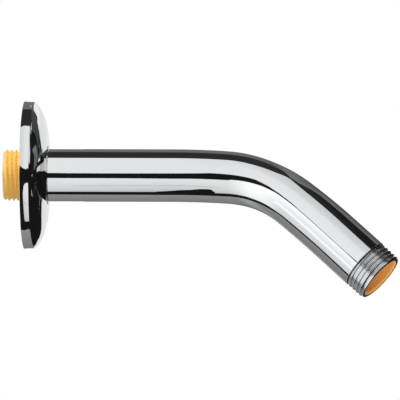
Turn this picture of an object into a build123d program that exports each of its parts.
from build123d import *

import os
from math import asin, atan2, cos, radians, sin

# Wall-mounted shower arm: a bent brass pipe with a pipe thread at each end, a domed wall flange that
# slides along it, and the O-ring inside the flange that grips the pipe. All sizes are millimetres.
# The origin is the centre of the flange's back face, on the finished wall. +X points out of the wall
# along the pipe, +Z is up, and the pipe bends down in the XZ plane.

# Pipe section
tube_od = 21.5
tube_wall = 2.5
thread_od = 20.955  # half-inch parallel pipe thread, over its crests

# Wall end
wall_thread_behind = 8.4  # thread that stands out behind the flange
wall_thread_inside = 2.6  # thread that runs on inside the hollow flange
wall_end_chamfer = 0.8
inlet_sink = 0.5

# Bend: a gentle lead, a tight middle and a gentle lead again, as a rotary bender leaves it. The bender
# presses the pipe oval, most of all a little past the middle, and less at both ends of the tight run.
straight_length = 60.5  # wall to the start of the bend
bend_turn = 45.0  # degrees, both leads included
lead_turn = 4.0  # degrees, each lead
lead_radius = 320.0
bend_radius = 46.5
press_turn = 22.0  # degrees of the tight run before the place that is pressed most
bend_flat = 0.55  # radius lost there in the plane of the bend
bend_spread = 0.35  # radius gained there across it
press_in = 0.12  # share of that where the tight run starts
press_out = 0.58  # and where it ends

# Outlet end
outlet_length = 25.2  # end of the bend to the mouth
outlet_thread_length = 9.0  # shoulder to mouth, relief groove included
shoulder_break = 0.3
relief_width = 0.9
relief_depth = 1.1  # below the thread's crests
thread_lead_in = 0.6  # chamfer at each end of the outlet thread
mouth_sink = 0.75

# Flange
flange_od = 60.2  # over the plain band round the edge
flare = 0.22  # radius that the band gains towards the wall
flare_width = 3.0
rim_width = 4.0  # wall to the front corner of the band
rim_round = 1.2
dome_rise = 5.6  # that corner to the flat top
shoulder_radius = 11.9  # the dome's outer, rounder part
shoulder_lean = 50.0  # degrees off the pipe's axis at which the dome leaves the corner
top_land = 2.5  # flat ring round the pipe's hole
collar_wall = 1.1  # narrow collar on that ring
collar_height = 0.25
lip_round = 0.4  # edge of the collar, into the hole
flange_wall = 2.0
hub_setback = 3.0  # hub's back face to the wall
hub_wall = 1.6  # metal outside the O-ring groove
hole_clearance = 0.25  # flange to pipe, on the radius

# O-ring
ring_section = 2.0
ring_clearance = 0.05  # ring to pipe and to the groove's floor, on the radius
groove_room = 0.3  # each side of the ring

tube_r = tube_od / 2
bore_r = tube_r - tube_wall
thread_r = thread_od / 2
flange_r = flange_od / 2
flange_depth = rim_width + dome_rise
hole_r = tube_r + hole_clearance
top_r = hole_r + top_land
collar_r = hole_r + collar_wall
ring_centre_r = tube_r + ring_clearance + ring_section / 2
groove_floor_r = ring_centre_r + ring_section / 2 + ring_clearance
groove_width = ring_section + 2 * groove_room
hub_r = groove_floor_r + hub_wall
ring_x = (hub_setback + flange_depth) / 2  # middle of the hub's length
same_place = 0.01  # edges nearer than this are taken as one


def across_pipe(origin, heading):
    """Plane across the pipe at a heading in degrees below +X; its Y is on the outside of the bend."""
    along = (cos(radians(heading)), 0, -sin(radians(heading)))
    return Plane(origin=origin, x_dir=(0, 1, 0), z_dir=along)


def bend_centre(start, radius):
    """Centre of an arc of the bend that leaves a plane across the pipe."""
    return start.origin - start.y_dir * radius


def after_arc(start, heading, radius, turn):
    """Plane across the pipe after an arc, from the plane and the heading where the arc starts."""
    outward = across_pipe(start.origin, heading + turn).y_dir
    return across_pipe(bend_centre(start, radius) + outward * radius, heading + turn)


def pipe_section(plane, press, inset=0.0):
    """The pipe's outline where it is pressed by a share of the most, or its bore's when inset by the wall."""
    if press == 0:
        return plane * Circle(tube_r - inset)
    return plane * Ellipse(tube_r + press * bend_spread - inset, tube_r - press * bend_flat - inset)


def bent_run(start, heading, radius, turn, presses):
    """An arc along which the pipe's outline and its bore change from one section to another."""
    halfway = after_arc(start, heading, radius, turn / 2)
    end = after_arc(start, heading, radius, turn)
    path = ThreePointArc(start.origin, halfway.origin, end.origin)
    ends = list(zip((start, end), presses))
    outside = sweep([pipe_section(plane, press) for plane, press in ends], path, multisection=True)
    bore = sweep([pipe_section(plane, press, tube_wall) for plane, press in ends], path, multisection=True)
    return outside - bore, end


def wall_run():
    """Straight pipe from the threaded wall end to the start of the bend."""
    end = -wall_thread_behind
    outline = Polyline(
        (end, bore_r + inlet_sink),
        (end, thread_r - wall_end_chamfer),
        (end + wall_end_chamfer, thread_r),
        (wall_thread_inside, thread_r),
        (wall_thread_inside, tube_r),
        (straight_length, tube_r),
        (straight_length, bore_r),
        (end + inlet_sink, bore_r),
        close=True,
    )
    return revolve(make_face(outline), Axis.X)


def outlet_run(start):
    """Straight end of the pipe: shoulder, relief groove, thread and the countersunk mouth."""
    shoulder = outlet_length - outlet_thread_length
    groove_end = shoulder + relief_width
    relief_r = thread_r - relief_depth
    outline = Polyline(
        (0, bore_r),
        (0, tube_r),
        (shoulder - shoulder_break, tube_r),
        (shoulder, tube_r - shoulder_break),
        (shoulder, relief_r),
        (groove_end, relief_r),
        (groove_end, thread_r - thread_lead_in),
        (groove_end + thread_lead_in, thread_r),
        (outlet_length - thread_lead_in, thread_r),
        (outlet_length, thread_r - thread_lead_in),
        (outlet_length, bore_r + mouth_sink),
        (outlet_length - mouth_sink, bore_r),
        close=True,
    )
    along_pipe = Plane(origin=start.origin, x_dir=start.z_dir, z_dir=start.y_dir)
    return along_pipe * revolve(make_face(outline), Axis.X)


def arm_pipe():
    """The whole bent pipe, one piece from the wall thread to the outlet thread."""
    lead_in = across_pipe((straight_length, 0, 0), 0)
    pressed = lead_turn + press_turn
    tight_end = bend_turn - lead_turn
    entry, tight_in = bent_run(lead_in, 0, lead_radius, lead_turn, (0, press_in))
    first, most = bent_run(tight_in, lead_turn, bend_radius, press_turn, (press_in, 1))
    second, tight_out = bent_run(most, pressed, bend_radius, tight_end - pressed, (1, press_out))
    leaving, outlet = bent_run(tight_out, tight_end, lead_radius, lead_turn, (press_out, 0))
    mouth = outlet.origin + outlet.z_dir * outlet_length
    print("mouth centre", [round(value, 3) for value in mouth], "heading", bend_turn)
    return wall_run() + entry + first + second + leaving + outlet_run(outlet)


def on_arc(centre, radius, angle):
    """Point of an arc in the flange's half section, (along the pipe's axis, away from it)."""
    return (centre[0] + radius * cos(angle), centre[1] + radius * sin(angle))


def dome_arcs(inset, edge_r):
    """The dome from a radius at its edge to the flat top: a shoulder that runs smoothly into a crown.

    The shoulder leaves the band's corner with its lean, the crown is level where it meets the flat top, and
    both are drawn in by the inset.
    """
    lean = radians(shoulder_lean)
    shoulder = (rim_width - shoulder_radius * cos(lean), flange_r - shoulder_radius * sin(lean))
    below = flange_depth - shoulder[0]
    beside = shoulder[1] - top_r
    crown_radius = (below**2 + beside**2 - shoulder_radius**2) / (2 * (below - shoulder_radius))
    crown = (flange_depth - crown_radius, top_r)
    edge = asin((edge_r - shoulder[1]) / (shoulder_radius - inset))
    meet = atan2(shoulder[1] - crown[1], shoulder[0] - crown[0])
    shoulder_angles = (edge, (edge + meet) / 2, meet)
    crown_angles = (meet, meet / 2, 0)
    shoulder_points = [on_arc(shoulder, shoulder_radius - inset, angle) for angle in shoulder_angles]
    crown_points = [on_arc(crown, crown_radius - inset, angle) for angle in crown_angles]
    return [ThreePointArc(*shoulder_points), ThreePointArc(*crown_points)]


def turned_face(dome, edge):
    """Half section down to the axis, below the dome's arcs and an edge that runs from the dome to the wall."""
    top = dome[-1] @ 1
    closing = Polyline(edge[-1] @ 1, (0, 0), (top.X, 0), top)
    return make_face([*dome, *edge, closing])


def ring_edges(solid, x, radius):
    """The circular edges of a turned solid at a place along its axis and a radius."""
    circles = solid.edges().filter_by(GeomType.CIRCLE)
    same_x = [edge for edge in circles if abs(edge.arc_center.X - x) < same_place]
    return [edge for edge in same_x if abs(edge.radius - radius) < same_place]


def wall_flange():
    """Domed flange: flared band, dome, collar round the pipe, hollow back, hub with the O-ring groove."""
    skirt_r = flange_r - flange_wall
    dome = dome_arcs(0, flange_r)
    skin = dome_arcs(flange_wall, skirt_r)
    flare_start = (flare_width, flange_r)
    flare_arc = TangentArc(flare_start, (0, flange_r + flare), tangent=(-1, 0))
    outside = revolve(turned_face(dome, [Line(dome[0] @ 0, flare_start), flare_arc]), Axis.X)
    hollow = revolve(turned_face(skin, [Line(skin[0] @ 0, (0, skirt_r))]), Axis.X)

    collar_top = flange_depth + collar_height
    collar = extrude(Plane.YZ.offset(flange_depth) * Circle(collar_r), collar_height)
    hub_length = flange_depth - flange_wall - hub_setback
    hub = extrude(Plane.YZ.offset(hub_setback) * Circle(hub_r), hub_length)
    hole = extrude(Plane.YZ * Circle(hole_r), collar_top)
    groove_plane = Plane.YZ.offset(ring_x - groove_width / 2)
    groove = extrude(groove_plane * Circle(groove_floor_r), groove_width)
    flange = outside + collar - (hollow - hub) - hole - groove
    flange = fillet(ring_edges(flange, rim_width, flange_r), rim_round)
    return fillet(ring_edges(flange, collar_top, hole_r), lip_round)


def flange_o_ring():
    """Rubber ring in the hub's groove, lying on the pipe."""
    return Plane.YZ.offset(ring_x) * Torus(ring_centre_r, ring_section / 2)


os.makedirs("parts", exist_ok=True)
for node in (arm_pipe, wall_flange, flange_o_ring):
    export_step(node(), f"parts/{node.__name__}.step")
